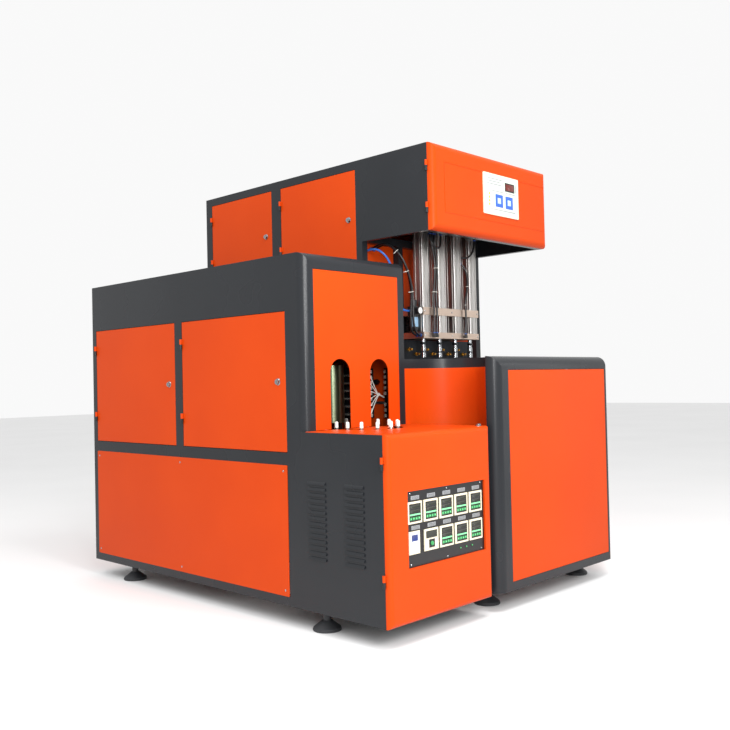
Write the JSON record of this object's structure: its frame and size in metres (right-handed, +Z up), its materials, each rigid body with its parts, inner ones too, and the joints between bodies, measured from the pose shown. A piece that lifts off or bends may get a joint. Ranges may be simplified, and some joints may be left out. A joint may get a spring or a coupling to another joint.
{
  "type": "semi-automatic bottle making machine",
  "caption": "Semi-automatic plastic bottle blowing machine: preform oven with chain, control box, and blowing station with an overhanging head.",
  "frame": {"origin": "centre of the footprint at floor level", "axes": "+Z up, -Y towards the operator's front, +X to the right with the blowing station"},
  "size_m": [1.901, 2.46, 2.401],
  "materials": {
    "grey_paint": "fine textured dark grey powder coat",
    "orange_paint": "smooth semi-gloss orange powder coat",
    "chrome": "polished chrome plate",
    "aluminium": "clear anodised extrusion",
    "tan_plate": "machined plate with a tan cast",
    "steel": "ground steel",
    "black_steel": "black oxide and black paint",
    "polished_steel": "polished stainless sheet",
    "quartz": "clear quartz tube",
    "black_plastic": "matte black",
    "cream_plastic": "cream moulded plastic",
    "rubber": "black rubber",
    "white_wire": "white silicone-covered lead",
    "motor_paint": "grey-blue motor enamel"
  },
  "bodies": {
    "machine": {"air_fittings": "black_plastic", "air_hoses": "rubber", "blow_backplate": "orange_paint", "blow_cylinders": "aluminium", "centre_reflector": "polished_steel", "chain_track": "grey_paint", "clamp_cylinder": "black_steel", "clamp_plate": "black_steel", "control_box_shell": "grey_paint", "control_box_top": "orange_paint", "cove_panel": "orange_paint", "cove_rail": "grey_paint", "cylinder_plates": "tan_plate", "drive_gearmotor": "motor_paint", "fan_frame": "grey_paint", "head_shell": "grey_paint", "hinge_pins": "grey_paint", "idler_post": "grey_paint", "infrared_lamps": "quartz", "lamp_leads": "white_wire", "lamp_racks": "grey_paint", "levelling_feet": "rubber", "mould_half_rear": "aluminium", "oven_cover_panels": "orange_paint", "oven_frame": "grey_paint", "oven_front_panel": "orange_paint", "oven_hood": "grey_paint", "oven_lower_panel": "orange_paint", "preform_chain": "steel", "rear_platen": "black_steel", "station_frame": "grey_paint", "station_front_panel": "orange_paint", "station_side_panels": "grey_paint", "station_surround": "grey_paint", "stretch_cylinders": "aluminium", "table_plate": "grey_paint", "tie_bars": "chrome", "tower_covers": "grey_paint"},
    "oven_door_front": {"oven_door_front": "orange_paint"},
    "oven_door_rear": {"oven_door_rear": "orange_paint"},
    "oven_lock_front": {"oven_lock_front": "chrome"},
    "oven_lock_rear": {"oven_lock_rear": "chrome"},
    "tower_door_front": {"tower_door_front": "orange_paint"},
    "tower_door_rear": {"tower_door_rear": "orange_paint"},
    "tower_lock_front": {"tower_lock_front": "chrome"},
    "tower_lock_rear": {"tower_lock_rear": "chrome"},
    "control_box_door": {"control_box_door": "orange_paint", "instrument_panel": "black_plastic", "controllers": "cream_plastic"},
    "control_box_lock": {"control_box_lock": "chrome"},
    "head_door": {"head_door": "orange_paint", "keypad": "cream_plastic"},
    "drive_sprocket": {"drive_sprocket": "steel"},
    "idler_sprocket": {"idler_sprocket": "steel"},
    "fan_impeller": {"fan_impeller": "black_steel"},
    "moving_platen": {"moving_platen": "black_steel", "mould_half_front": "aluminium", "clamp_rod": "chrome"},
    "blow_nozzles": {"blow_nozzles": "chrome"},
    "stretch_rods": {"stretch_rods": "chrome"}
  },
  "joints": [
    {"name": "oven_door_front_hinge", "type": "hinge", "parent": "machine", "child": "oven_door_front", "pos_m": [-0.9435, 0.2695, 1.158], "axis": [0, 0, -1], "range_deg": [0, 110]},
    {"name": "oven_door_rear_hinge", "type": "hinge", "parent": "machine", "child": "oven_door_rear", "pos_m": [-0.9435, 1.187, 1.158], "axis": [0, 0, -1], "range_deg": [0, 110]},
    {"name": "oven_lock_front_turn", "type": "hinge", "parent": "oven_door_front", "child": "oven_lock_front", "pos_m": [-0.9355, -0.5283, 1.1585], "axis": [-1, 0, 0], "range_deg": [0, 90]},
    {"name": "oven_lock_rear_turn", "type": "hinge", "parent": "oven_door_rear", "child": "oven_lock_rear", "pos_m": [-0.9355, 0.3965, 1.1585], "axis": [-1, 0, 0], "range_deg": [0, 90]},
    {"name": "tower_door_front_hinge", "type": "hinge", "parent": "machine", "child": "tower_door_front", "pos_m": [-0.1475, 0.35, 2.073], "axis": [0, 0, -1], "range_deg": [0, 110]},
    {"name": "tower_door_rear_hinge", "type": "hinge", "parent": "machine", "child": "tower_door_rear", "pos_m": [-0.1475, 1.057, 2.073], "axis": [0, 0, -1], "range_deg": [0, 110]},
    {"name": "tower_lock_front_turn", "type": "hinge", "parent": "tower_door_front", "child": "tower_lock_front", "pos_m": [-0.1395, -0.239, 2.073], "axis": [-1, 0, 0], "range_deg": [0, 90]},
    {"name": "tower_lock_rear_turn", "type": "hinge", "parent": "tower_door_rear", "child": "tower_lock_rear", "pos_m": [-0.1395, 0.495, 2.073], "axis": [-1, 0, 0], "range_deg": [0, 90]},
    {"name": "control_box_door_hinge", "type": "hinge", "parent": "machine", "child": "control_box_door", "pos_m": [-0.9435, -1.203, 0.495], "axis": [0, 0, -1], "range_deg": [0, 110]},
    {"name": "control_box_lock_turn", "type": "hinge", "parent": "machine", "child": "control_box_lock", "pos_m": [-0.2275, -1.184, 0.924], "axis": [0, 0, 1], "range_deg": [0, 90]},
    {"name": "head_door_hinge", "type": "hinge", "parent": "machine", "child": "head_door", "pos_m": [-0.1475, -0.826, 2.169], "axis": [0, 0, -1], "range_deg": [0, 110]},
    {"name": "drive_sprocket_turn", "type": "hinge", "parent": "machine", "child": "drive_sprocket", "pos_m": [-0.564, 0.754, 0.858], "axis": [0, 0, 1], "continuous": true},
    {"name": "idler_sprocket_turn", "type": "hinge", "parent": "machine", "child": "idler_sprocket", "pos_m": [-0.564, -0.77, 0.858], "axis": [0, 0, 1], "continuous": true},
    {"name": "fan_turn", "type": "hinge", "parent": "machine", "child": "fan_impeller", "pos_m": [-0.5835, 1.19, 1.155], "axis": [0, 1, 0], "continuous": true},
    {"name": "mould_slide", "type": "slide", "parent": "machine", "child": "moving_platen", "axis": [0, 1, 0], "range_m": [0, 0.15]},
    {"name": "nozzle_slide", "type": "slide", "parent": "machine", "child": "blow_nozzles", "axis": [0, 0, -1], "range_m": [0, 0.04]},
    {"name": "stretch_slide", "type": "slide", "parent": "machine", "child": "stretch_rods", "axis": [0, 0, -1], "range_m": [0, 0.3]}
  ],
  "couplings": [
    {"joint": "idler_sprocket_turn", "follows": "drive_sprocket_turn", "ratio": 1}
  ]
}
